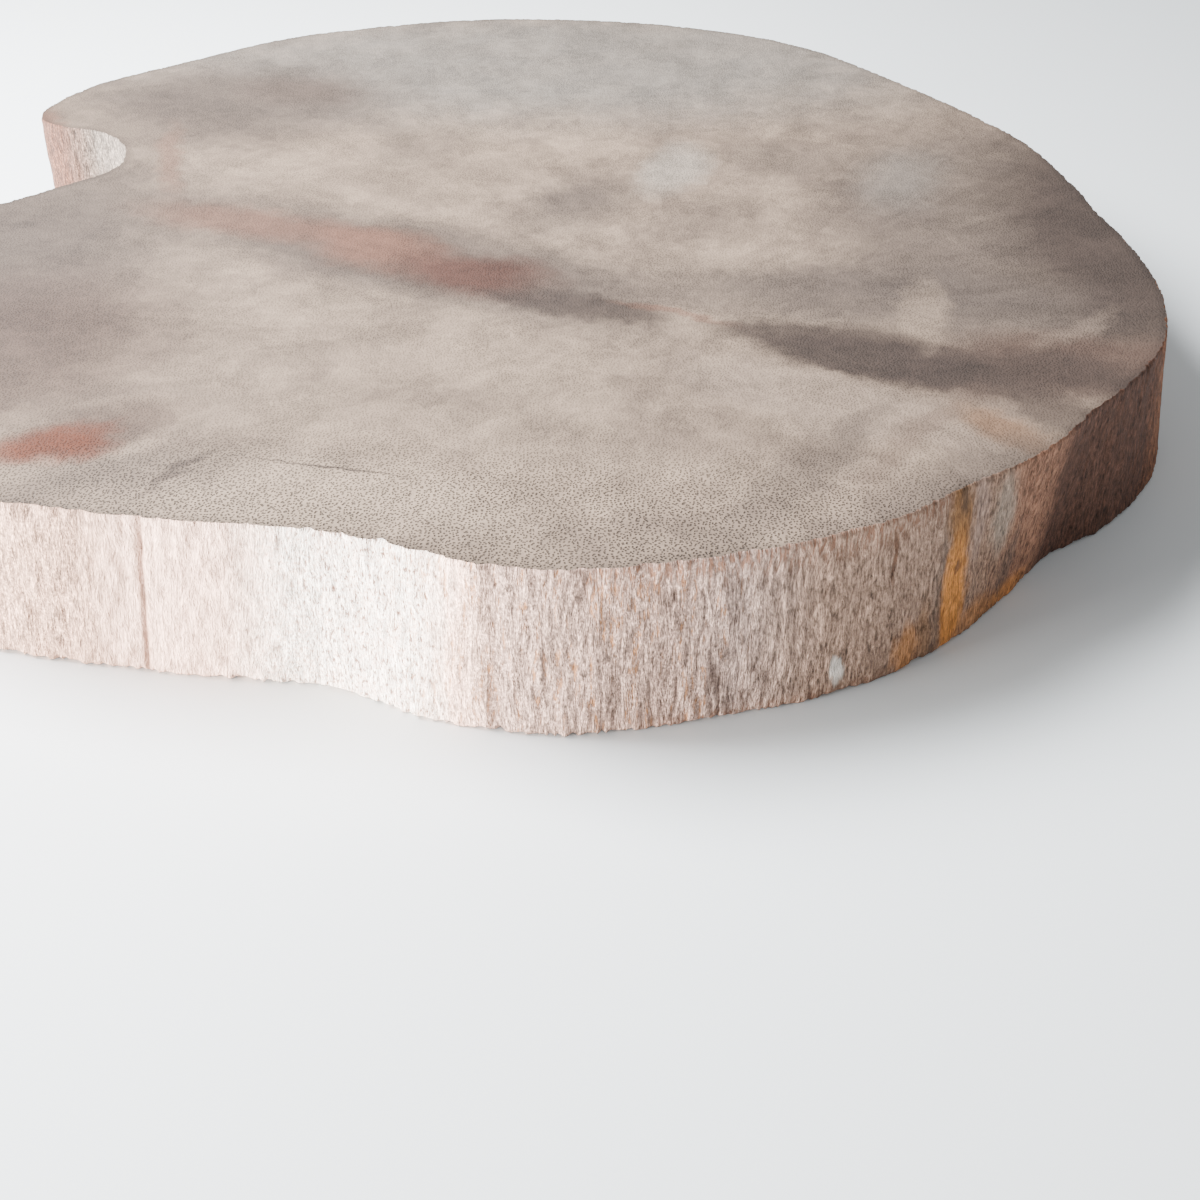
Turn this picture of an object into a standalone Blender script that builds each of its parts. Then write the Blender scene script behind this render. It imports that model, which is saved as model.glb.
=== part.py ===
"""Wood slice: one slice sawn across a small, barkless hardwood trunk, lying flat.

The slice grew as one piece, so it is one solid. Its outline follows the trunk: a broad
front lobe, a long round back, a lobe at the right, and a bay bitten into the left side.
Frame: metres, +Z up through the slice, +X along its longer side. The origin is the middle
of the outline's box, on the lower sawn face.
"""
import bmesh
import bpy
import numpy as np

MM = 0.001

# Driving dimensions.
THICKNESS = 22.0 * MM  # from the lower sawn face to the upper one
UPPER_WEAR = 0.3 * MM  # how far the upper rim is worn back
LOWER_WEAR = 0.6 * MM  # how far the lower rim is worn back
COLUMNS = 240  # facets round the wall
STEPS_PER_SPAN = 24  # samples between two neighbouring outline points

# The upper rim seen from above, counter-clockwise, in millimetres: x, y, and the flare,
# which is how far the wall stands out at the lower rim (less than 0 where it is undercut).
OUTLINE = (
    # Front edge, left to right: nearly straight, then a nose that sticks out to the front.
    (-62.0, -72.0, 0.4),
    (-47.5, -77.2, 0.3),
    (-30.5, -80.5, 0.0),
    (-14.0, -82.6, 0.1),
    (-3.0, -85.8, 1.9),
    (5.0, -89.0, 1.2),
    (14.0, -89.9, 1.1),
    (25.0, -88.6, 0.9),
    (39.0, -85.1, 0.7),
    (50.4, -79.8, 0.8),
    (59.8, -73.2, 0.5),
    (66.1, -69.0, -1.3),
    # Right front corner, with a hollow under it, then the right lobe, which flares out.
    (71.6, -63.9, -2.3),
    (76.3, -58.0, -2.2),
    (82.1, -51.5, 0.2),
    (87.2, -44.7, 1.2),
    (91.5, -35.5, 2.8),
    (93.4, -23.5, 4.0),
    (92.8, -11.0, 3.2),
    (91.0, 0.0, 1.8),
    (89.1, 13.9, 0.8),
    # The long round back.
    (84.4, 31.0, 0.0),
    (70.4, 54.4, 0.0),
    (55.5, 73.6, 0.0),
    (37.0, 84.5, 0.0),
    (13.0, 90.0, 0.0),
    (-12.0, 89.2, 0.0),
    (-38.3, 80.4, 0.0),
    (-55.5, 67.4, 0.0),
    (-69.5, 54.9, 0.0),
    # Tip of the left back lobe, then the bay below it.
    (-75.3, 44.5, 0.3),
    (-75.4, 37.6, 0.3),
    (-70.5, 34.0, 0.0),
    (-64.6, 32.0, 0.0),
    (-60.3, 27.6, 0.0),
    (-57.8, 21.5, 0.0),
    (-58.6, 15.6, 0.0),
    (-63.2, 11.0, 0.0),
    (-71.6, 3.2, 0.0),
    # Left side of the front lobe.
    (-82.0, -6.5, 0.0),
    (-91.0, -19.0, 0.0),
    (-94.6, -34.0, 0.0),
    (-91.5, -49.5, 0.2),
    (-80.0, -62.5, 0.4),
)

# The wall from the lower face up: height, and how far it is set in from the outline.
# It swells by a fraction of a millimetre at mid height.
WALL = (
    (0.0, LOWER_WEAR),
    (LOWER_WEAR, 0.0),
    (0.3 * THICKNESS, -0.25 * MM),
    (0.65 * THICKNESS, -0.2 * MM),
    (THICKNESS - UPPER_WEAR, 0.0),
    (THICKNESS, UPPER_WEAR),
)

WOOD_COLOUR = (0.50, 0.42, 0.36, 1.0)
WOOD_ROUGHNESS = 0.85


def clear_scene():
    for obj in list(bpy.data.objects):
        bpy.data.objects.remove(obj, do_unlink=True)


def closed_curve(points, steps):
    """The points joined by a closed Catmull-Rom curve, with this many samples in each span."""
    before = np.roll(points, 1, axis=0)[:, None]
    start = points[:, None]
    end = np.roll(points, -1, axis=0)[:, None]
    after = np.roll(points, -2, axis=0)[:, None]
    u = np.linspace(0.0, 1.0, steps, endpoint=False)[None, :, None]
    slope_at_start = 0.5 * (end - before)
    slope_at_end = 0.5 * (after - start)
    curve = (
        (2 * u**3 - 3 * u**2 + 1) * start
        + (u**3 - 2 * u**2 + u) * slope_at_start
        + (3 * u**2 - 2 * u**3) * end
        + (u**3 - u**2) * slope_at_end
    )
    return curve.reshape(-1, points.shape[1])


def evenly_spaced(curve, count):
    """The closed curve sampled again at equal distances along its plan."""
    closed = np.vstack([curve, curve[:1]])
    spans = np.hypot(*np.diff(closed[:, :2], axis=0).T)
    distance = np.concatenate([[0.0], np.cumsum(spans)])
    wanted = np.linspace(0.0, distance[-1], count, endpoint=False)
    return np.stack([np.interp(wanted, distance, column) for column in closed.T], axis=1)


def outward_normals(plan):
    """The unit normal at each point of a closed counter-clockwise plan."""
    along = np.roll(plan, -1, axis=0) - np.roll(plan, 1, axis=0)
    across = np.stack([along[:, 1], -along[:, 0]], axis=1)
    return across / np.hypot(across[:, 0], across[:, 1])[:, None]


def wall_rings():
    """One ring of plan points for each height of the wall, centred on the outline's box."""
    rim = evenly_spaced(closed_curve(np.array(OUTLINE) * MM, STEPS_PER_SPAN), COLUMNS)
    plan = rim[:, :2]
    flare = rim[:, 2:]
    normals = outward_normals(plan)
    rings = [
        plan + normals * (flare * (1.0 - height / THICKNESS) - set_in)
        for height, set_in in WALL
    ]
    every_point = np.vstack(rings)
    middle = (every_point.min(axis=0) + every_point.max(axis=0)) / 2
    return [ring - middle for ring in rings]


def make_slice():
    """The lower face, extruded upward one ring at a time, so the wall follows the trunk."""
    rings = wall_rings()
    bm = bmesh.new()
    column = bm.verts.layers.int.new("column")
    start = [bm.verts.new((x, y, 0.0)) for x, y in rings[0]]
    for index, vert in enumerate(start):
        vert[column] = index
    lower_face = bm.faces.new(start)
    cap = lower_face
    for (height, _), ring in zip(WALL[1:], rings[1:]):
        made = bmesh.ops.extrude_face_region(bm, geom=[cap])["geom"]
        if cap is not lower_face:
            bm.faces.remove(cap)
        cap = next(item for item in made if isinstance(item, bmesh.types.BMFace))
        for vert in cap.verts:
            x, y = ring[vert[column]]
            vert.co = (x, y, height)
    bmesh.ops.recalc_face_normals(bm, faces=bm.faces)
    mesh = bpy.data.meshes.new("wood_slice")
    bm.to_mesh(mesh)
    bm.free()
    mesh.shade_smooth()
    mesh.set_sharp_from_angle(angle=np.radians(35.0))
    obj = bpy.data.objects.new("wood_slice", mesh)
    bpy.context.scene.collection.objects.link(obj)
    return obj


def wood_material():
    material = bpy.data.materials.new("wood")
    material.use_nodes = True
    shader = material.node_tree.nodes["Principled BSDF"]
    shader.inputs["Base Color"].default_value = WOOD_COLOUR
    shader.inputs["Roughness"].default_value = WOOD_ROUGHNESS
    shader.inputs["Metallic"].default_value = 0.0
    return material


clear_scene()
wood_slice = make_slice()
wood_slice.data.materials.append(wood_material())
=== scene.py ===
import bpy
import numpy as np
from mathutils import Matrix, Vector


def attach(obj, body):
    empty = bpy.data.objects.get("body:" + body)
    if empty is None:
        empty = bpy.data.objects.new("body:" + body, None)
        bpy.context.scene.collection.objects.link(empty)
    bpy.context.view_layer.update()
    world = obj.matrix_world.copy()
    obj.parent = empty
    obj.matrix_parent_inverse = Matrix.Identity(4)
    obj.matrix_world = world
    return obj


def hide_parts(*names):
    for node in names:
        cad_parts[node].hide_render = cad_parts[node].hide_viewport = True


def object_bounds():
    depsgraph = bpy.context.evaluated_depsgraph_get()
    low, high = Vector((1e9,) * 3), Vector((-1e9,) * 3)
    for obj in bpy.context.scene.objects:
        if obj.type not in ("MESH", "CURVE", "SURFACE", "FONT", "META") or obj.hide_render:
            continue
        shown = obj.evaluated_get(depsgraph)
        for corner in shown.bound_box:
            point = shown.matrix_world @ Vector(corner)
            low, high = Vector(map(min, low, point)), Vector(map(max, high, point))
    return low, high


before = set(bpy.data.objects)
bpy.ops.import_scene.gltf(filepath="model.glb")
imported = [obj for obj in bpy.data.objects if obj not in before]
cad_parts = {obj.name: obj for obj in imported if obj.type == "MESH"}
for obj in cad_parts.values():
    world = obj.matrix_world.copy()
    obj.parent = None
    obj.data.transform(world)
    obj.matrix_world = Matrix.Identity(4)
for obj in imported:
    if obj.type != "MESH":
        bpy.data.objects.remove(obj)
cad_low, cad_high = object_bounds()

# ---- The slice: its outline ---------------------------------------------------------
# The trunk grew with a broad front lobe, a long round back and a bay in its left side, and
# the saw cut straight across it. The two rims come from the frame, so the size is settled
# there; between them the wall leans and flares as the trunk did.

MM = 0.001
HEART = np.array([5.5, 45.0]) * MM  # sees the whole rim, and both sides of the bay
COLUMNS = 2500  # round the wall, about 0.24 mm apart
SAMPLES_PER_SPAN = 24  # between two neighbouring points of a rim
SAME_LEVEL = 0.02 * MM  # how near a level a point has to be to lie on it
THICKNESS = cad_high[2] - cad_low[2]


def rim_of(vertices, level):
    """The frame's ring of vertices at one level, in order of bearing from HEART.

    The ring starts at the back and runs counter-clockwise seen from above.
    """
    ring = np.unique(vertices[np.abs(vertices[:, 2] - level) < SAME_LEVEL][:, :2], axis=0)
    away = ring - HEART
    bearing = np.mod(np.arctan2(-away[:, 0], away[:, 1]), 2 * np.pi)
    return ring[np.argsort(bearing)]


def rounded(ring, count):
    """The closed ring as a smooth curve, sampled at equal distances along it.

    Each span is a cubic. Its slope at a point is that of the chord between the point's two
    neighbours, so spans of different lengths join smoothly.
    """
    before = np.roll(ring, 1, axis=0)[:, None]
    start = ring[:, None]
    end = np.roll(ring, -1, axis=0)[:, None]
    after = np.roll(ring, -2, axis=0)[:, None]
    step = np.linalg.norm(end - start, axis=2, keepdims=True)
    leaving = (end - before) / (step + np.roll(step, 1, axis=0)) * step
    arriving = (after - start) / (step + np.roll(step, -1, axis=0)) * step
    u = np.linspace(0, 1, SAMPLES_PER_SPAN, endpoint=False)[None, :, None]
    curve = (
        (2 * u**3 - 3 * u**2 + 1) * start
        + (u**3 - 2 * u**2 + u) * leaving
        + (3 * u**2 - 2 * u**3) * end
        + (u**3 - u**2) * arriving
    ).reshape(-1, 2)
    closed = np.vstack([curve, curve[:1]])
    along = np.concatenate([[0], np.cumsum(np.hypot(*np.diff(closed, axis=0).T))])
    wanted = np.linspace(0, along[-1], count, endpoint=False)
    return np.stack([np.interp(wanted, along, axis) for axis in closed.T], axis=1)


node_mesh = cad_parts["wood_slice"].data
corners = np.empty(len(node_mesh.vertices) * 3, np.float32)
node_mesh.vertices.foreach_get("co", corners)
corners = np.round(corners.reshape(-1, 3).astype(float), 6)
levels = np.unique(np.round(corners[:, 2], 5))
# The topmost and lowest levels are worn back, so each full rim is one level further in.
upper_rim = rounded(rim_of(corners, levels[-2]), COLUMNS)
lower_rim = rounded(rim_of(corners, levels[1]), COLUMNS)

steps = np.hypot(*(np.roll(upper_rim, -1, axis=0) - upper_rim).T)
GIRTH = steps.sum()
round_trip = np.concatenate([[0], np.cumsum(steps)[:-1]])
tangent = np.roll(upper_rim, -3, axis=0) - np.roll(upper_rim, 3, axis=0)
outward = np.stack([tangent[:, 1], -tangent[:, 0]], axis=1)
outward /= np.hypot(*outward.T)[:, None]

# How far the wall stands out at the lower rim, from the lower rim's nearest point.
apart = np.hypot(*(upper_rim[:, None] - lower_rim[None]).transpose(2, 0, 1))
flare = np.sum((lower_rim[apart.argmin(axis=1)] - upper_rim) * outward, axis=1)

# The distance round the wall is counted from the nose, straight in front of HEART.
in_front = np.where(upper_rim[:, 1] < 0, np.abs(upper_rim[:, 0] - HEART[0]), GIRTH)
girth_at = round_trip - round_trip[in_front.argmin()]

# ---- The slice: the relief of its wall ----------------------------------------------
# With the bark gone the wall is bare, weathered wood: long fibres run from face to face,
# with grooves, lumps and short torn pits, and both rims are chipped where the saw broke out.

WALL_ROWS = 33
EVEN_ROWS = 0.62  # the share of even spacing in the rows, which crowd a little at both rims
LEFT_SLANT = 0.13  # how far the grain drifts round the wall for each metre it goes down
RIGHT_SLANT = -0.05
SEAM_AT = -40.3 * MM  # the upright seam, counted round the wall from the nose
SEAM_WIDTH = 0.24 * MM
NOSE_EDGE_AT = -0.6 * MM  # the shallow crease where the nose starts
NOSE_EDGE_WIDTH = 0.9 * MM
WHOLE_HEIGHT = 99 * MM  # taller than the wall, so a chip is the same from top to bottom


def smooth(share):
    """A rise from 0 to 1 whose ends are level: 3 t^2 - 2 t^3, with t kept within 0 and 1."""
    t = np.clip(share, 0, 1)
    return t * t * (3 - 2 * t)


def zone(start, end, blend):
    """1 for the part of the girth from start to end, falling to 0 over `blend`, all in metres."""
    rise = smooth((girth_at - start) / blend + 0.5)
    fall = smooth((end - girth_at) / blend + 0.5)
    return (rise * fall)[None, :]


up_share = np.linspace(0, 1, WALL_ROWS)
crowded = 0.5 - 0.5 * np.cos(np.pi * up_share)
height = THICKNESS * (EVEN_ROWS * up_share + (1 - EVEN_ROWS) * crowded)
slant = LEFT_SLANT * zone(-120 * MM, -25 * MM, 22 * MM)
slant = slant + RIGHT_SLANT * zone(42 * MM, 120 * MM, 16 * MM)
drift = slant * (THICKNESS - height)[:, None]


def weave(across, along, seed):
    """Smooth random relief from -1 to 1 over the wall, as rows by columns.

    Random values stand on a lattice, `across` apart round the girth and `along` apart up
    the wall, and smoothstep joins them. The lattice follows the grain's drift, and it
    closes on itself round the girth.
    """
    count = max(4, int(round(GIRTH / across)))
    floors = int(np.ceil(THICKNESS / along)) + 2
    lattice = np.random.default_rng(seed).uniform(-1, 1, (floors, count))
    x = (round_trip[None, :] + drift) / GIRTH * count
    z = np.broadcast_to(height[:, None] / along, x.shape)
    column = np.floor(x).astype(int)
    row = np.floor(z).astype(int)
    fx = smooth(x - column)
    fz = smooth(z - row)
    here = column % count
    beside = (column + 1) % count
    low_edge = lattice[row, here] * (1 - fx) + lattice[row, beside] * fx
    high_edge = lattice[row + 1, here] * (1 - fx) + lattice[row + 1, beside] * fx
    return low_edge * (1 - fz) + high_edge * fz


# Each weave is given its width round the wall, its height up the wall and its seed. The
# number in front of it is how far it stands out, in millimetres.
crumbly = zone(-75 * MM, -8 * MM, 14 * MM) + 0.35 * zone(-210 * MM, -80 * MM, 30 * MM)
flutes = 0.16 * weave(9 * MM, 30 * MM, 1) + 0.08 * weave(3.2 * MM, 12 * MM, 2)
lumps = 0.13 * weave(2.2 * MM, 2.6 * MM, 3) + 0.10 * weave(0.9 * MM, 1.4 * MM, 4)
fibres = 0.05 * weave(0.95 * MM, 5 * MM, 5) + 0.09 * weave(0.5 * MM, 2.2 * MM, 6)
grooves = np.clip(1 - 6 * np.abs(weave(1.2 * MM, 8 * MM, 7)), 0, 1)
open_grooves = np.clip(weave(2.4 * MM, 5 * MM, 8) - 0.05, 0, 1) * grooves
pits = smooth((weave(0.7 * MM, 1.5 * MM, 9) - 0.62) / 0.38)
tears = smooth((weave(1.3 * MM, 3.0 * MM, 10) - 0.74) / 0.26)
seam = np.exp(-(((girth_at[None, :] + drift - SEAM_AT) / SEAM_WIDTH) ** 2))
nose_edge = np.exp(-(((girth_at - NOSE_EDGE_AT) / NOSE_EDGE_WIDTH) ** 2))[None, :]
relief = MM * (
    flutes
    + lumps * (0.40 + 0.95 * crumbly)
    + fibres * (1.0 - 0.55 * crumbly)
    - 0.28 * open_grooves * (1.0 - 0.55 * crumbly)
    - 0.14 * pits
    - 0.10 * tears
    - 0.30 * seam
    - 0.35 * nose_edge
)
# How deep each point lies in a hollow; the wall's colour is darkened there as painted shade.
hollows = open_grooves + 0.9 * pits + 0.8 * tears + 0.8 * seam + 0.5 * nose_edge
groove_depth = np.clip(hollows, 0, 1)

# Both rims are rounded by a quarter circle whose radius changes with the chips.
upper_chips = 0.34 * np.abs(weave(0.7 * MM, WHOLE_HEIGHT, 11)) ** 2
upper_chips += np.clip(weave(1.7 * MM, WHOLE_HEIGHT, 12) - 0.45, 0, 1) * (0.5 + 0.5 * crumbly)
lower_chips = 0.9 * np.abs(weave(0.8 * MM, WHOLE_HEIGHT, 13)) ** 2
lower_chips += 0.9 * np.clip(weave(2.3 * MM, WHOLE_HEIGHT, 14) - 0.3, 0, 1)
upper_wear = MM * (0.10 + upper_chips)
lower_wear = MM * (0.18 + lower_chips)
near_top = np.clip(1 - (THICKNESS - height[:, None]) / upper_wear, 0, 1)
near_floor = np.clip(1 - height[:, None] / lower_wear, 0, 1)
relief -= upper_wear * (1 - np.sqrt(1 - near_top**2))
relief -= lower_wear * (1 - np.sqrt(1 - near_floor**2))

lean = flare[None, :] * (1 - height[:, None] / THICKNESS)
plan = upper_rim[None] + outward[None] * (lean + relief)[:, :, None]
rise = np.broadcast_to(height[:, None, None], plan.shape[:2] + (1,))
wall = np.concatenate([plan, rise], axis=2)

# ---- The slice: one closed skin -----------------------------------------------------
# Both sawn faces are flat. Each is filled by rings drawn in from its rim toward HEART, and
# the wall joins them, so the whole slice is one grid with a single point at either end.

FACE_MARGIN = 2.0 * MM  # from the chipped rim in to the first ring
FACE_SHARES = (1.0, 0.6)  # of the way from HEART to the first ring


def face_rings(rim, level):
    """Rings that fill a face, widest first: one inside the rim, then that one drawn in."""
    inner = rim - outward * FACE_MARGIN
    rings = [HEART + (inner - HEART) * share for share in FACE_SHARES]
    return [np.column_stack([ring, np.full(len(ring), level)]) for ring in rings]


def skin(name, rings, low_point, high_point, bands, round_at, round_next):
    """A closed mesh from rings that run counter-clockwise, from the lower point to the upper.

    Ring i, column j is vertex 1 + i * columns + j, and each cell of the grid is one face.
    The UV map is each corner's way round the girth and its height, both in metres.
    """
    columns = len(rings[0])
    points = np.vstack([low_point[None], *rings, high_point[None]])
    here = np.arange(columns)
    after = np.roll(here, -1)
    base = 1 + columns * np.arange(len(rings) - 1)[:, None]
    quads = np.stack(
        [base + here, base + after, base + columns + after, base + columns + here], axis=2
    ).reshape(-1, 4)
    top_base = 1 + columns * (len(rings) - 1)
    low_fan = np.stack([np.zeros(columns, int), 1 + after, 1 + here], axis=1)
    high_fan = np.stack(
        [np.full(columns, len(points) - 1), top_base + here, top_base + after], axis=1
    )
    mesh = bpy.data.meshes.new(name)
    mesh.from_pydata(points, [], [*low_fan.tolist(), *quads.tolist(), *high_fan.tolist()])
    material_of = np.concatenate([[0] * columns, np.repeat(bands, columns), [0] * columns])
    mesh.polygons.foreach_set("material_index", material_of.astype(np.int32))
    mesh.polygons.foreach_set("use_smooth", material_of.astype(bool))

    cells = np.stack([round_at[:-1], round_next[:-1], round_next[1:], round_at[1:]], axis=2)
    low_corners = np.stack([round_at[0], round_next[0], round_at[0]], axis=1)
    high_corners = np.stack([round_at[-1], round_at[-1], round_next[-1]], axis=1)
    corner_round = np.concatenate([low_corners.ravel(), cells.ravel(), high_corners.ravel()])
    corner_vertex = np.empty(len(mesh.loops), np.int32)
    mesh.loops.foreach_get("vertex_index", corner_vertex)
    unrolled = np.stack([corner_round, points[corner_vertex, 2]], axis=1)
    uv_map = mesh.uv_layers.new(name="unrolled")
    uv_map.data.foreach_set("uv", unrolled.astype(np.float32).ravel())
    obj = bpy.data.objects.new(name, mesh)
    bpy.context.scene.collection.objects.link(obj)
    return obj


lower_face = face_rings(upper_rim + outward * flare[:, None], 0.0)[::-1]
upper_face = face_rings(upper_rim, THICKNESS)
all_rings = [*lower_face, *wall, *upper_face]
wall_start = len(lower_face)
wall_end = wall_start + WALL_ROWS
cell_bands = np.zeros(len(all_rings) - 1, int)
cell_bands[wall_start : wall_end - 1] = 1
ring_drift = np.zeros((len(all_rings), COLUMNS))
ring_drift[:wall_start] = drift[0]
ring_drift[wall_start:wall_end] = drift
grain_at = girth_at + ring_drift
grain_next = girth_at + steps + np.roll(ring_drift, -1, axis=1)
floor_point = np.array([*HEART, wall[0, 0, 2]])
roof_point = np.array([*HEART, wall[-1, 0, 2]])
slice_wood = skin(
    "slice_wood", all_rings, floor_point, roof_point, cell_bands, grain_at, grain_next
)


def ring_attribute(name, values):
    """A number on every vertex: a row of values for each ring, and 0 at the two end points."""
    spread = np.concatenate([[0], np.broadcast_to(values, (len(all_rings), COLUMNS)).ravel(), [0]])
    layer = slice_wood.data.attributes.new(name, "FLOAT", "POINT")
    layer.data.foreach_set("value", spread.astype(np.float32))


ring_edges = np.zeros((len(all_rings), 1))
ring_edges[[wall_start, wall_end - 1]] = 1
ring_attribute("edge", ring_edges)
ring_grooves = np.zeros((len(all_rings), COLUMNS))
ring_grooves[wall_start:wall_end] = groove_depth
ring_attribute("groove", ring_grooves)

# ---- The slice: its sawn faces ------------------------------------------------------
# Dry end grain, sawn and lightly sanded: fine dark pores in a cream-grey ground, faint rays,
# a long dark heart streak with a maroon core, rust stains, and a dark brown right-hand side.


class Shade:
    """A number, colour or vector in a material; sums and products of shades add Math nodes."""

    def __init__(self, tree, socket=None):
        self.tree = tree
        self.socket = socket

    def node(self, kind, settings, inputs, output=0):
        """A new node: its settings first, then the value or the link of each socket."""
        made = self.tree.nodes.new("ShaderNode" + kind)
        for name, value in settings.items():
            if name == "stops":
                for position, _ in value[2:]:
                    made.color_ramp.elements.new(position)
                for stop, (position, colour) in zip(made.color_ramp.elements, sorted(value)):
                    stop.position = position
                    stop.color = colour
            else:
                setattr(made, name, value)
        for name, value in inputs.items():
            if isinstance(value, Shade):
                self.tree.links.new(value.socket, made.inputs[name])
            else:
                made.inputs[name].default_value = value
        return Shade(self.tree, made.outputs[output])

    def math(self, operation, *values):
        return self.node("Math", {"operation": operation}, dict(enumerate(values)))

    def __add__(self, other):
        return self.math("ADD", self, other)

    def __radd__(self, other):
        return self.math("ADD", other, self)

    def __sub__(self, other):
        return self.math("SUBTRACT", self, other)

    def __rsub__(self, other):
        return self.math("SUBTRACT", other, self)

    def __mul__(self, other):
        return self.math("MULTIPLY", self, other)

    def __rmul__(self, other):
        return self.math("MULTIPLY", other, self)

    def vector(self, operation, other, output=0):
        return self.node("VectorMath", {"operation": operation}, {0: self, 1: other}, output)

    def scaled(self, factor):
        """This vector or colour times a number."""
        return self.node("VectorMath", {"operation": "SCALE"}, {0: self, "Scale": factor})

    def tinted(self, colour):
        """This number times a colour."""
        return self.node("VectorMath", {"operation": "SCALE"}, {0: colour[:3], "Scale": self})

    def ramp(self, low, high):
        """0 at low and 1 at high, with a smooth rise between; low above high makes it fall."""
        edges = {"Value": self, "From Min": low, "From Max": high}
        return self.node("MapRange", {"interpolation_type": "SMOOTHSTEP"}, edges)

    def between(self, colour, other):
        """This share of the way from one colour to another."""
        return self.node("Mix", {"data_type": "RGBA"}, {0: self, 6: colour, 7: other}, 2)

    def noise(self, scale, detail=2.0, roughness=0.5, output=0):
        settings = {"Vector": self, "Scale": scale, "Detail": detail, "Roughness": roughness}
        return self.node("TexNoise", {}, settings, output)

    def cells(self, scale, randomness):
        """Distance to the nearest cell centre, in cell widths, on the X and Y of this vector."""
        inputs = {"Vector": self, "Scale": scale, "Randomness": randomness}
        return self.node("TexVoronoi", {"voronoi_dimensions": "2D"}, inputs)

    def spot(self, x, y, length, width, turn, soft):
        """1 inside an oval on X and Y, given its half length, half width and turn in degrees."""
        oval = {
            "Vector": self,
            "Location": (x, y, 0.0),
            "Rotation": (0.0, 0.0, np.radians(turn)),
            "Scale": (length, width, 1e6),
        }
        placed = self.node("Mapping", {"vector_type": "TEXTURE"}, oval)
        distance = placed.node("VectorMath", {"operation": "LENGTH"}, {0: placed}, 1)
        return distance.ramp(1 + soft, 1 - soft)


def new_material(name):
    """An empty material: its Principled shader, and a shade that starts its patterns."""
    material = bpy.data.materials.new(name)
    material.use_nodes = True
    tree = material.node_tree
    return material, tree.nodes["Principled BSDF"], Shade(tree)


def finish_material(shader, start, colour, roughness, relief_height, depth):
    """Feeds the shader, with a bump of this depth in metres from a height of 0 to 1."""
    settings = {"Height": relief_height, "Distance": depth, "Strength": 1.0}
    bump = start.node("Bump", {}, settings)
    for name, shade in (("Base Color", colour), ("Roughness", roughness), ("Normal", bump)):
        start.tree.links.new(shade.socket, shader.inputs[name])
    shader.inputs["Specular IOR Level"].default_value = 0.25


CREAM = (0.380, 0.276, 0.200, 1)
SUNLIT = (0.460, 0.340, 0.248, 1)
FIELD = (0.300, 0.220, 0.166, 1)
PALE = (0.385, 0.325, 0.265, 1)
DULL = (0.200, 0.143, 0.107, 1)
REAR_GREY = (0.232, 0.213, 0.188, 1)
DUSK = (0.108, 0.080, 0.064, 1)
GREY_BROWN = (0.094, 0.072, 0.060, 1)
UMBER = (0.052, 0.036, 0.029, 1)
MAROON = (0.090, 0.038, 0.026, 1)
DUSTY_RED = (0.190, 0.086, 0.054, 1)
RED_BROWN = (0.105, 0.064, 0.048, 1)
OCHRE_BROWN = (0.200, 0.100, 0.048, 1)
RUST = (0.150, 0.038, 0.015, 1)
PITH = (28.0, -35.0, 0.0)
RAYS_ROUND = 14.0  # how finely the rays divide the way round the pith
RINGS_ROUND = 1.2
WIDE_DRIFT = (8.0, 8.0, 0.0)  # the span over which a mark's edge wanders, in millimetres
FINE_DRIFT = (3.4, 3.4, 0.0)
PORE_DRIFT = (0.9, 0.9, 0.0)
PORES_PER_MM = 2.4
PORE_SCATTER = 0.85  # 0 sets the pores in a square grid, 1 scatters them freely
FACE_BUMP = 0.16 * MM

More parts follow.
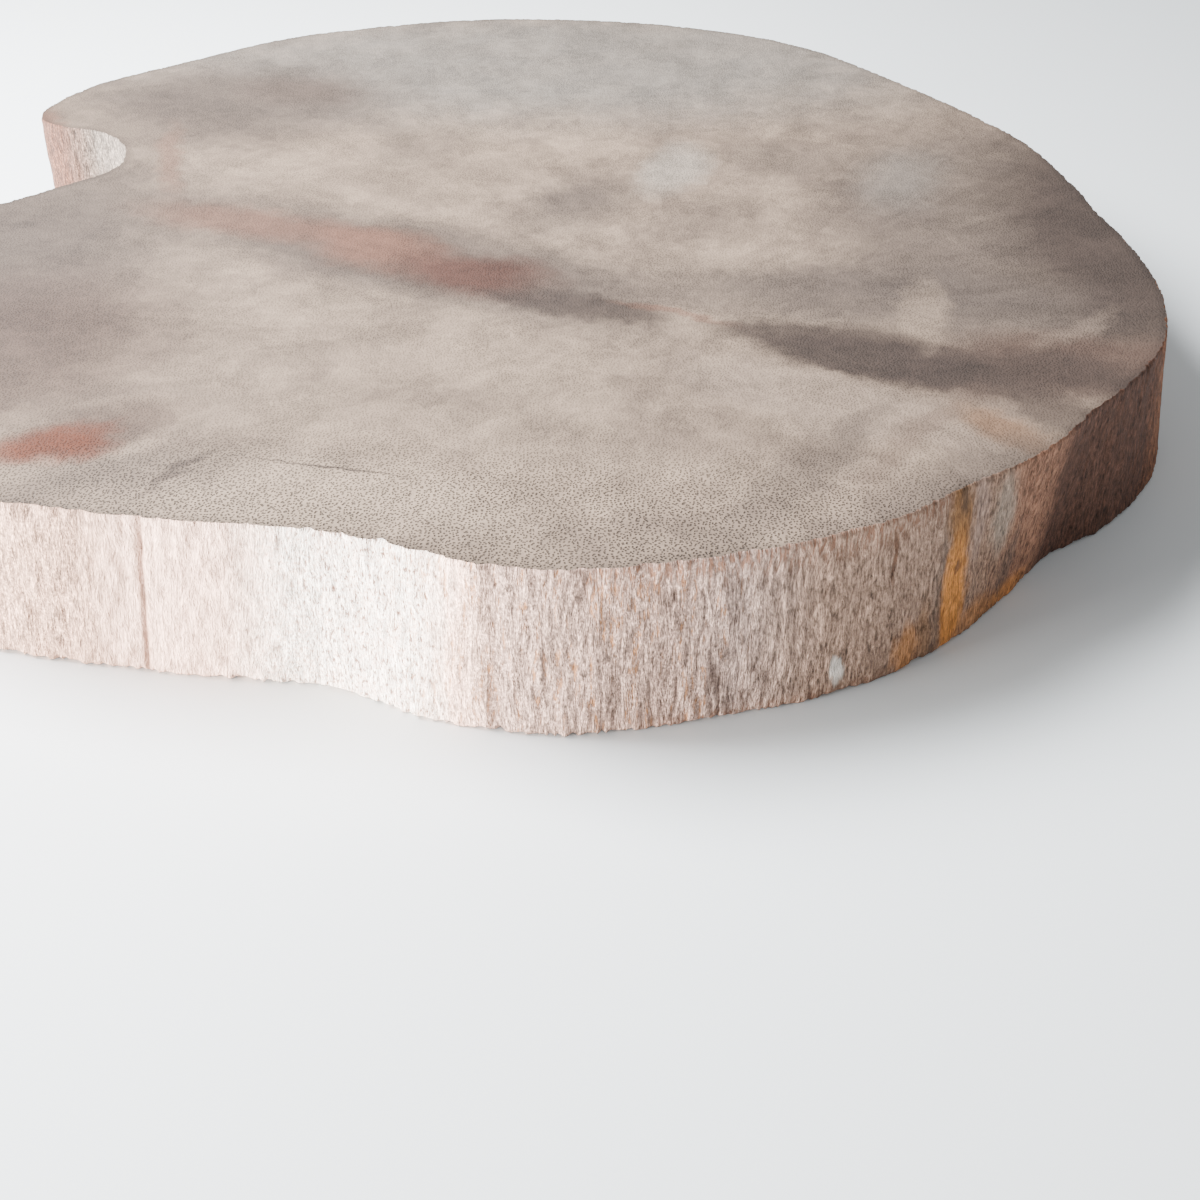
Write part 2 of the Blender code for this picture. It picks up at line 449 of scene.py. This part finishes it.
# Marks on the faces, each painted over those above it: where its middle lies, its half
# length and half width, all in millimetres, its turn in degrees, how soft its edge is, how
# much of it shows, and its colour.
FACE_MARKS = (
    (8, 66, 72, 28, 0, 0.5, 0.75, REAR_GREY),
    (-46, 45, 25, 18, 8, 0.5, 0.82, DUSK),
    (-36, 51, 9, 6, 0, 0.7, 0.35, RED_BROWN),
    (-75, -12, 30, 36, -12, 0.5, 0.85, DUSK),
    (-60, -42, 22, 19, 10, 0.6, 0.80, RED_BROWN),
    (-20, 14, 22, 13, 0, 0.6, 0.35, CREAM),
    (-18, -76, 21, 8, -10, 0.6, 0.80, SUNLIT),
    (-14, -60, 16, 5.5, -10, 0.6, 0.60, CREAM),
    (-3, -43, 13, 8, -15, 0.7, 0.50, CREAM),
    (76, -8, 26, 44, 8, 0.45, 0.72, GREY_BROWN),
    (91, -8, 16, 40, -2, 0.45, 0.90, UMBER),
    (51, -27, 27, 9, -7, 0.6, 0.75, GREY_BROWN),
    (32, -3, 6, 12, -35, 0.7, 0.20, GREY_BROWN),
    (43, 20, 9, 8, 20, 0.7, 0.45, GREY_BROWN),
    (12, 4, 6, 10, -30, 0.7, 0.65, GREY_BROWN),
    (-13, 27, 8, 9, 0, 0.7, 0.40, GREY_BROWN),
    (27, 16, 4.5, 9.5, -18, 0.6, 0.85, PALE),
    (63, 12, 6, 10, -20, 0.7, 0.35, REAR_GREY),
    (-52, 20, 2.0, 12, 12, 0.7, 0.50, DUSTY_RED),
    (-76, 33, 4.0, 13, 22, 0.5, 0.75, DUSTY_RED),
    # The heart streak, from left to right, then the wedge past the pith.
    (-9, -16, 40, 10, -25, 0.50, 0.90, DUSK),
    (-36, -3, 15, 4.5, -16, 0.60, 0.60, DUSTY_RED),
    (-15, -12, 11, 5.5, -28, 0.60, 0.80, DUSTY_RED),
    (-1, -20.5, 10, 6.2, -25, 0.50, 0.95, MAROON),
    (15, -31.0, 12, 3.0, -22, 0.50, 0.80, UMBER),
    (28.5, -35.5, 4.5, 3.6, -20, 0.50, 0.65, CREAM),
    (27, -33.5, 8, 1.0, -22, 0.60, 0.50, DUSTY_RED),
    (42, -38, 12, 3.2, -8, 0.45, 0.85, UMBER),
    (75, -47, 20, 8.5, -2, 0.45, 0.90, RED_BROWN),
    (51, -45, 16, 5.2, -18, 0.35, 0.95, UMBER),
    (68, -48, 18, 5.5, -12, 0.45, 0.75, UMBER),
    (58.5, -32, 9, 3.0, 76, 0.45, 0.42, CREAM),
    (78, -37, 8, 1.6, 40, 0.60, 0.35, FIELD),
    # The cream field in front of the wedge, with brown streaks across it.
    (44, -56, 20, 6.5, -28, 0.35, 0.80, FIELD),
    (43, -68, 15, 2.2, 58, 0.70, 0.55, DUSK),
    (35, -75, 12, 2.0, 62, 0.70, 0.45, DUSK),
    (54, -62, 11, 1.8, 50, 0.70, 0.45, RED_BROWN),
    (65, -62, 7, 3.5, -45, 0.50, 0.65, OCHRE_BROWN),
    (71, -58, 9, 3.0, -50, 0.50, 0.75, UMBER),
    (58, -72, 17, 4.5, 32, 0.60, 0.65, DUSK),
    # The front of the left lobe.
    (-42, -61.5, 8, 3.6, 32, 0.70, 0.70, RED_BROWN),
    (-36, -71, 12, 4.5, 5, 0.70, 0.55, DUSK),
    (-47.5, -65.6, 5.8, 3.4, 15, 0.65, 0.95, RUST),
    (-43.5, -63.0, 3.0, 1.2, 50, 0.80, 0.60, RUST),
    (-30.5, -71, 6.0, 0.9, 62, 0.60, 0.65, UMBER),
)

end_grain, shader, start = new_material("end_grain")
place = start.node("TexCoord", {}, {}, "Object").scaled(1 / MM)
wide_drift = place.noise(0.07, 3, output=1).vector("SUBTRACT", (0.5, 0.5, 0.5))
fine_drift = place.noise(0.45, 3, 0.6, output=1).vector("SUBTRACT", (0.5, 0.5, 0.5))
loose = place.vector("ADD", wide_drift.vector("MULTIPLY", WIDE_DRIFT))
loose = loose.vector("ADD", fine_drift.vector("MULTIPLY", FINE_DRIFT))

# Rays spread from the pith, and growth goes round it.
from_pith = place.vector("SUBTRACT", PITH)
distance = from_pith.node("VectorMath", {"operation": "LENGTH"}, {0: from_pith}, 1)
bearing = from_pith.node("VectorMath", {"operation": "NORMALIZE"}, {0: from_pith})
bearing = bearing.vector("MULTIPLY", (1.0, 1.0, 0.0))
along_ray = start.node("CombineXYZ", {}, {2: distance * 0.035})
rays = bearing.scaled(RAYS_ROUND).vector("ADD", along_ray).noise(1.0, 3, 0.65)
across_ring = start.node("CombineXYZ", {}, {2: distance * 0.30})
rings = bearing.scaled(RINGS_ROUND).vector("ADD", across_ring).noise(1.0, 3, 0.6)

mottle = loose.noise(0.050, 4, 0.6).ramp(0.34, 0.66)
clouds = loose.noise(0.20, 4, 0.6).ramp(0.34, 0.68)
colour = (mottle * 0.5 + clouds * 0.3 + rings * 0.2).between(DULL, CREAM)
for x, y, length, width, turn, soft, shows, tint in FACE_MARKS:
    colour = (loose.spot(x, y, length, width, turn, soft) * shows).between(colour, tint)

# A hairline crack near the front edge.
crack = place.vector("ADD", fine_drift.vector("MULTIPLY", (1.0, 1.6, 0.0)))
colour = (crack.spot(-14, -70.2, 8.5, 0.20, -13, 0.7) * 0.8).between(colour, UMBER)

# The pores crowd in some patches, and show most along the front edge.
crowding = loose.noise(0.13, 3, 0.6).ramp(0.36, 0.64)
open_front = place.spot(12, -84, 80, 15, -5, 0.6)
scattered = place.vector("ADD", fine_drift.vector("MULTIPLY", PORE_DRIFT))
cell = scattered.cells(PORES_PER_MM, PORE_SCATTER)
pores = cell.ramp(0.38, 0.17) * (0.24 + 0.14 * crowding + 0.62 * open_front)
fine_grain = place.noise(2.6, 3, 0.65)
blotches = loose.noise(0.60, 4, 0.7).ramp(0.30, 0.70)
ray_lines = rays.ramp(0.36, 0.64)
edge = start.node("Attribute", {"attribute_name": "edge"}, {}, "Fac")
# The face's colour is scaled down overall, and more toward the left, where the extra darkening is
# painted shade.
right_of_middle = start.node("SeparateXYZ", {}, {0: place}, 0)
scale_and_left_shade = right_of_middle * 0.0012 + 0.655
tone = 0.66 + ray_lines * 0.16 + fine_grain * 0.36 + blotches * 0.24 - 0.14 * crowding
colour = colour.scaled((tone + open_front * 0.15) * scale_and_left_shade)
# The faces are darker in a band along their rims.
dark_rim_band = edge.ramp(0.20, 0.90) * (0.45 + 0.55 * blotches)
colour = (dark_rim_band * 0.70).between(colour, colour.scaled(0.55))
colour = (pores * 0.95).between(colour, colour.scaled(0.20))
roughness = 0.70 + 0.2 * fine_grain
height_field = (1 - pores) * 0.65 + fine_grain * 0.35
finish_material(shader, start, colour, roughness, height_field, FACE_BUMP)

# ---- The slice: its wall ------------------------------------------------------------
# Bare weathered wood between the faces: pink-white and crumbly at the left of the front,
# beige with rust-brown fibres on the nose, then grey-brown with an ochre streak, and nearly
# black round the right lobe.

CHALK = (0.970, 0.865, 0.765, 1)
ROSE = (0.770, 0.490, 0.375, 1)
TAN = (0.375, 0.225, 0.160, 1)
NOSE_BEIGE = (0.345, 0.223, 0.176, 1)
DULL_BEIGE = (0.345, 0.238, 0.197, 1)
FAWN = (0.335, 0.214, 0.155, 1)
OCHRE = (0.610, 0.242, 0.060, 1)
GREYED = (0.288, 0.175, 0.121, 1)
BRICK = (0.290, 0.145, 0.091, 1)
NEAR_BLACK = (0.116, 0.057, 0.039, 1)
OUTER_BROWN = (0.230, 0.101, 0.055, 1)
BACK_BROWN = (0.230, 0.148, 0.108, 1)
NOTCH_TIP = (0.077, 0.034, 0.021, 1)
NOTCH_WALL = (0.115, 0.092, 0.075, 1)
RUST_LINE = (0.120, 0.050, 0.025, 1)
# The colour of the painted shade in the wall's hollows, and of the dark specks between fibres.
HOLLOW_SHADE_AND_SPECKS = (0.055, 0.030, 0.021, 1)
AMBER_BROWN = (0.250, 0.120, 0.045, 1)

WALL_SPAN = 605.0  # millimetres of wall that the stops share out, which is its whole girth
# Each stop is a station in millimetres round the wall from the nose, and its colour.
WALL_STOPS = (
    (-302, BACK_BROWN),
    (-234, BACK_BROWN),
    (-224, NOTCH_TIP),
    (-214, NOTCH_TIP),
    (-208, NOTCH_WALL),
    (-186, NOTCH_WALL),
    (-170, BACK_BROWN),
    (-90, TAN),
    (-47, TAN),
    (-39, ROSE),
    (-31, ROSE),
    (-24, CHALK),
    (-9.5, CHALK),
    (-5, ROSE),
    (-0.5, NOSE_BEIGE),
    (18, NOSE_BEIGE),
    (26, DULL_BEIGE),
    (36, FAWN),
    (54, FAWN),
    (60, GREYED),
    (65.5, BRICK),
    (72, BRICK),
    (75.5, NEAR_BLACK),
    (97, NEAR_BLACK),
    (104, OUTER_BROWN),
    (150, BACK_BROWN),
    (302, BACK_BROWN),
)

# Marks on the wall, each painted over those above it: the station of its middle and its
# height, its half width and half height, all in millimetres, its turn in degrees, how soft
# its edge is, how much of it shows, and its colour.
WALL_MARKS = (
    (57.2, 17.0, 1.8, 6.5, -3, 0.40, 0.55, DULL_BEIGE),
    (54.4, 17.5, 2.0, 7.0, 3, 0.50, 0.90, AMBER_BROWN),
    (54.9, 20.8, 0.7, 2.2, 0, 0.50, 0.65, UMBER),
    (54.0, 6.5, 2.2, 8.5, -3, 0.45, 0.95, OCHRE),
    (54.6, 11.0, 0.7, 0.9, 15, 0.60, 0.75, UMBER),
    (51.6, 9.0, 0.6, 9.0, -3, 0.60, 0.55, GREY_BROWN),
    (46.8, 2.6, 1.7, 3.4, 0, 0.50, 0.55, OCHRE),
    (49.6, 3.5, 1.2, 4.5, 0, 0.60, 0.50, AMBER_BROWN),
    (44.4, 17.0, 0.35, 3.4, 0, 0.50, 0.75, RUST_LINE),
    (61.8, 15.5, 1.9, 5.5, 0, 0.50, 0.55, PALE),
    (64.5, 6.5, 1.4, 5.5, -14, 0.50, 0.50, GREY_BROWN),
    (66.5, 1.5, 4.0, 2.0, 0, 0.60, 0.60, OCHRE),
    (59.0, 2.0, 3.5, 2.2, 0, 0.60, 0.45, OCHRE),
)
WALL_BUMP = 0.25 * MM

bare_wall, shader, start = new_material("bare_wall")
place = start.node("TexCoord", {}, {}, "Object").scaled(1 / MM)
unrolled = start.node("UVMap", {"uv_map": "unrolled"}, {}).scaled(1 / MM)
grain_mm = start.node("SeparateXYZ", {}, {0: unrolled}, 0)
height_mm = start.node("SeparateXYZ", {}, {0: unrolled}, 1)
hollow = start.node("Attribute", {"attribute_name": "groove"}, {}, "Fac")

# The fibres wave a little from side to side on their way up. Each pattern along them is
# scaled by how often it changes in a millimetre round the wall, then up it.
sway = unrolled.vector("MULTIPLY", (0.30, 0.09, 0.0)).noise(1.0, 2, output=1)
sway = sway.vector("SUBTRACT", (0.5, 0.5, 0.5)).vector("MULTIPLY", (1.3, 0.0, 0.0))
grain = unrolled.vector("ADD", sway)
bundles = grain.vector("MULTIPLY", (0.85, 0.085, 0.0)).noise(1.0, 2, 0.5)
strands = grain.vector("MULTIPLY", (2.7, 0.50, 0.0)).noise(1.0, 3, 0.7)
threads = grain.vector("MULTIPLY", (4.2, 1.0, 0.0)).noise(1.0, 2, 0.7)
crumbs = grain.vector("MULTIPLY", (3.4, 2.2, 0.0)).noise(1.0, 3, 0.75)
fissures = grain.vector("MULTIPLY", (1.7, 0.26, 0.0)).noise(1.0, 3, 0.6)
broad = place.vector("MULTIPLY", (1.0, 1.0, 0.35)).noise(0.20, 3, 0.55)
patches = place.vector("MULTIPLY", (1.0, 1.0, 0.5)).noise(0.55, 3, 0.6)
bright_strand = strands.ramp(0.36, 0.66)
bright_thread = threads.ramp(0.34, 0.68)
crevices = (fissures - 0.49).math("ABSOLUTE").ramp(0.060, 0.012) * strands.ramp(0.64, 0.46)
specks = threads.ramp(0.40, 0.30) * crumbs.ramp(0.52, 0.42)
station = grain_mm + (broad - 0.5) * 3.5 + (bundles - 0.5) * 3.0 + (strands - 0.5) * 2.2


def stretch(start_mm, end_mm, blend_mm):
    """1 for the stations from start to end round the wall, with soft ends."""
    rise = station.ramp(start_mm - blend_mm, start_mm + blend_mm)
    return rise * station.ramp(end_mm + blend_mm, end_mm - blend_mm)


stops = [(at / WALL_SPAN + 0.5, tint) for at, tint in WALL_STOPS]
way_round = station * (1 / WALL_SPAN) + 0.5
colour = start.node("ValToRGB", {"stops": stops}, {0: way_round})

# How the surface differs round the wall, then its fibres, crumbs and threads. `change` is
# how light the fibres are at a spot, and is about 1 on average.
chalky = stretch(-46, -6, 4)
lit_front = stretch(-12, 76, 4)
far_side = stretch(26, 300, 10)
fibrous = 1 - chalky * 0.35
lumpy = patches.ramp(0.34, 0.66)
change = bright_strand * 0.90 + bright_thread * 0.50 + lumpy * 0.24 + bundles * 0.30 + 0.03
tone = 1.0 + (change - 1.0) * fibrous
colour = colour.scaled(tone)
pale_crumbs = crumbs.ramp(0.50, 0.60) * (0.60 - 0.42 * far_side)
colour = pale_crumbs.between(colour, colour.scaled(2.2 - 1.1 * chalky))
dark_crumbs = crumbs.ramp(0.48, 0.37) * (0.60 - 0.25 * far_side)
colour = dark_crumbs.between(colour, colour.scaled(0.46))
rosy_crumbs = chalky * (crumbs.ramp(0.52, 0.38) * 0.60 + lumpy * 0.30)
colour = rosy_crumbs.between(colour, ROSE)
rosy_specks = chalky * threads.ramp(0.46, 0.38) * (0.30 + 0.70 * stretch(-24, 2, 6))
colour = (rosy_specks * 0.90).between(colour, DUSTY_RED)
rust_lines = crevices * (0.30 + 0.70 * lit_front)
colour = (rust_lines * fibrous * 0.92).between(colour, RUST_LINE)
warm_threads = stretch(-12, 26, 3) * bundles.ramp(0.50, 0.60) * strands.ramp(0.50, 0.40)
colour = (warm_threads * 0.40).between(colour, OCHRE)

# Reddish stains at both rims, then the marks, the seam and a pale fleck.
upper_stain = height_mm.ramp(17.0, 21.6) * stretch(10, 54, 4) * strands.ramp(0.52, 0.42)
colour = (upper_stain * 0.8).between(colour, BRICK)
lower_stain = height_mm.ramp(2.2, 0.4) * stretch(14, 60, 6) * strands.ramp(0.58, 0.44)
colour = (lower_stain * 0.5).between(colour, BRICK)
ragged = grain.vector("MULTIPLY", (0.9, 0.25, 0.0)).noise(1.0, 3, 0.65, output=1)
ragged = ragged.vector("SUBTRACT", (0.5, 0.5, 0.5)).vector("MULTIPLY", (2.6, 3.0, 0.0))
ragged = ragged.vector("ADD", grain)
for x, y, width, tall, turn, soft, shows, tint in WALL_MARKS:
    mark = ragged.spot(x, y, width, tall, turn, soft)
    colour = (mark * shows).between(colour, (0.25 + change * 0.75).tinted(tint))
seam_stain = grain.spot(-40.4, 7, 0.5, 15, 0, 0.9)
colour = (seam_stain * 0.60).between(colour, BRICK)
left_stain = height_mm.ramp(4.0, 0.5) * stretch(-80, -42, 8)
colour = (left_stain * 0.35).between(colour, TAN)
fleck = ragged.spot(38, 3.4, 0.8, 1.9, 12, 0.4)
colour = (fleck * 0.95).between(colour, CHALK)

# Hollows in the relief are darkened as painted shade, and the specks between fibres are dark.
speck_share = 0.55 - 0.30 * far_side + 0.38 * stretch(-15, 8, 4)
hollow_shade_and_specks = hollow * 0.34 * (0.30 + 0.70 * fibrous) + specks * speck_share
colour = hollow_shade_and_specks.between(colour, HOLLOW_SHADE_AND_SPECKS)
roughness = 0.72 + 0.24 * strands
height_field = bright_strand * 0.30 + bright_thread * 0.20 + crumbs * 0.50 - crevices * 0.35
finish_material(shader, start, colour, roughness, height_field, WALL_BUMP)

slice_wood.data.materials.append(end_grain)
slice_wood.data.materials.append(bare_wall)
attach(slice_wood, "root")
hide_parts("wood_slice")

# ---- The table ----------------------------------------------------------------------
# A plain pale sheet that the slice lies on. It is matt, has a faint blue cast, and reaches
# far past the slice on every side.

REACH = 4.0  # metres from the slice to each edge of the sheet
TABLE_GAP = 0.05 * MM  # keeps the sheet just clear of the lower sawn face
TABLE_COLOUR = (0.78, 0.825, 0.84, 1)

table_mesh = bpy.data.meshes.new("table")
table_corners = [(-REACH, -REACH, 0), (REACH, -REACH, 0), (REACH, REACH, 0), (-REACH, REACH, 0)]
table_mesh.from_pydata(table_corners, [], [(0, 1, 2, 3)])
table = bpy.data.objects.new("table", table_mesh)
bpy.context.scene.collection.objects.link(table)
table.location.z = -TABLE_GAP
table_finish, shader, start = new_material("table_finish")
shader.inputs["Base Color"].default_value = TABLE_COLOUR
shader.inputs["Roughness"].default_value = 0.6
shader.inputs["Specular IOR Level"].default_value = 0.2
table.data.materials.append(table_finish)

# ---- Light --------------------------------------------------------------------------
# A wide, thin window low at the left of the slice, a softer one high above its left side,
# and a pale sky that fills the shade.

WARM = (1.0, 0.985, 0.965)
COOL = (0.975, 0.98, 1.0)
SKY = (0.99, 0.99, 1.0, 1)
SKY_STRENGTH = 0.50


def soft_window(name, place_at, aim_at, width, tall, watts, colour):
    """A rectangular light at one point, aimed at another, in metres, unseen by the camera."""
    data = bpy.data.lights.new(name, "AREA")
    data.shape = "RECTANGLE"
    data.size = width
    data.size_y = tall
    data.energy = watts
    data.color = colour
    lamp = bpy.data.objects.new(name, data)
    bpy.context.scene.collection.objects.link(lamp)
    lamp.location = place_at
    lamp.rotation_euler = (Vector(place_at) - Vector(aim_at)).to_track_quat("Z", "Y").to_euler()
    lamp.visible_camera = False


soft_window("left_window", (-0.425, -0.19, 0.020), (-0.01, -0.07, 0.01), 0.30, 0.03, 26.0, WARM)
soft_window("high_window", (-0.22, 0.03, 0.26), (-0.05, 0.0, 0.0), 0.20, 0.20, 8.0, COOL)
world = bpy.data.worlds.new("sky")
bpy.context.scene.world = world
world.use_nodes = True
background = world.node_tree.nodes["Background"]
background.inputs["Color"].default_value = SKY
background.inputs["Strength"].default_value = SKY_STRENGTH

# ---- Camera -------------------------------------------------------------------------
# A close view from the front, looking down at the nose of the slice, with the tip of its
# left lobe outside the frame.

SENSOR_WIDTH = 36.0
LENS = 48.0
CAMERA_FOOT = (16.3 * MM, -222.9 * MM)
CAMERA_HEIGHT = 119.0 * MM
LOOKS_DOWN = 37.15  # degrees below level

camera_data = bpy.data.cameras.new("camera")
camera_data.sensor_width = SENSOR_WIDTH
camera_data.lens = LENS
camera_data.clip_start = 0.01
camera = bpy.data.objects.new("camera", camera_data)
bpy.context.scene.collection.objects.link(camera)
camera.location = (*CAMERA_FOOT, CAMERA_HEIGHT)
camera.rotation_euler = (np.radians(90.0 - LOOKS_DOWN), 0.0, 0.0)
bpy.context.scene.camera = camera
